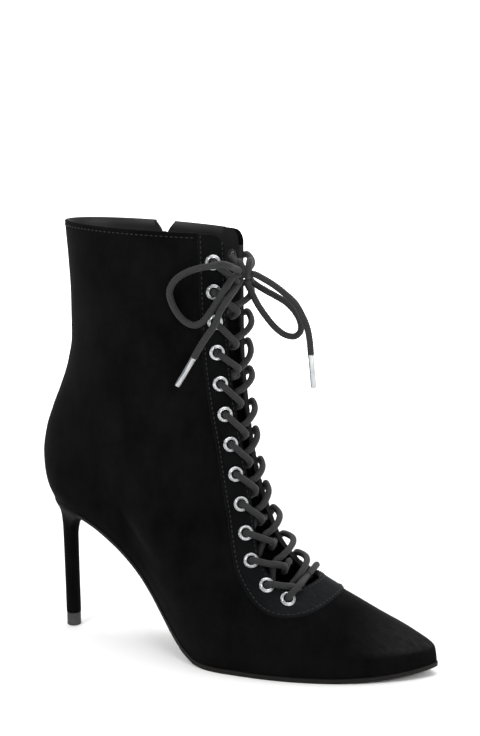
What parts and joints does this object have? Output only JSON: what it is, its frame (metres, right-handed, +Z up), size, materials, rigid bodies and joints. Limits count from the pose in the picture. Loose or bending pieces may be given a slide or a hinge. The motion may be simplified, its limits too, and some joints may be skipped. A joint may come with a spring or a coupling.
{
  "type": "lace up ankle boot",
  "caption": "Right women's suede ankle boot with a stiletto heel, pointed toe, laced eyelet throat with a bow, and an inner side zip.",
  "frame": {"origin": "centre of the heel tip's foot, on the floor", "axes": "+X to the toe, +Y to the inner side of the foot, +Z up"},
  "size_m": [0.2573, 0.0805, 0.2641],
  "materials": {
    "suede": "matte black suede",
    "lining": "smooth dark grey",
    "outsole": "satin dark",
    "heel_tip": "matte dark grey",
    "eyelet": "bright silver",
    "lace": "round braid, dark grey",
    "aglet": "satin grey",
    "zip_tape": "matte black",
    "zip_metal": "dark metal"
  },
  "bodies": {
    "boot": {"upper": "suede", "heel": "suede", "insole": "lining", "outsole": "outsole", "heel_tip": "heel_tip", "lace_bar": "lace", "zip_track": "zip_tape", "zip_slider": "zip_metal", "eyelet_outer_01": "eyelet", "eyelet_outer_02": "eyelet", "eyelet_outer_03": "eyelet", "eyelet_outer_04": "eyelet", "eyelet_outer_05": "eyelet", "eyelet_outer_06": "eyelet", "eyelet_outer_07": "eyelet", "eyelet_outer_08": "eyelet", "eyelet_outer_09": "eyelet", "eyelet_outer_10": "eyelet", "eyelet_outer_11": "eyelet", "eyelet_outer_12": "eyelet", "eyelet_outer_13": "eyelet", "eyelet_inner_01": "eyelet", "eyelet_inner_02": "eyelet", "eyelet_inner_03": "eyelet", "eyelet_inner_04": "eyelet", "eyelet_inner_05": "eyelet", "eyelet_inner_06": "eyelet", "eyelet_inner_07": "eyelet", "eyelet_inner_08": "eyelet", "eyelet_inner_09": "eyelet", "eyelet_inner_10": "eyelet", "eyelet_inner_11": "eyelet", "eyelet_inner_12": "eyelet", "eyelet_inner_13": "eyelet", "lace_crossing_01": "lace", "lace_crossing_02": "lace", "lace_crossing_03": "lace", "lace_crossing_04": "lace", "lace_crossing_05": "lace", "lace_crossing_06": "lace", "lace_crossing_07": "lace", "lace_crossing_08": "lace", "lace_crossing_09": "lace", "lace_crossing_10": "lace", "lace_crossing_11": "lace", "lace_crossing_12": "lace", "lace_knot": "lace", "bow_loop_outer": "lace", "bow_loop_inner": "lace", "lace_end_outer": "lace", "lace_end_inner": "lace", "aglet_outer": "aglet", "aglet_inner": "aglet"},
    "pull": {"zip_pull": "zip_metal"}
  },
  "joints": [
    {"name": "zip_pull_hinge", "type": "hinge", "parent": "boot", "child": "pull", "pos_m": [0.05419, 0.0341, 0.24949], "axis": [0.9998, 0.0183, 0], "range_deg": [0, 160]}
  ]
}
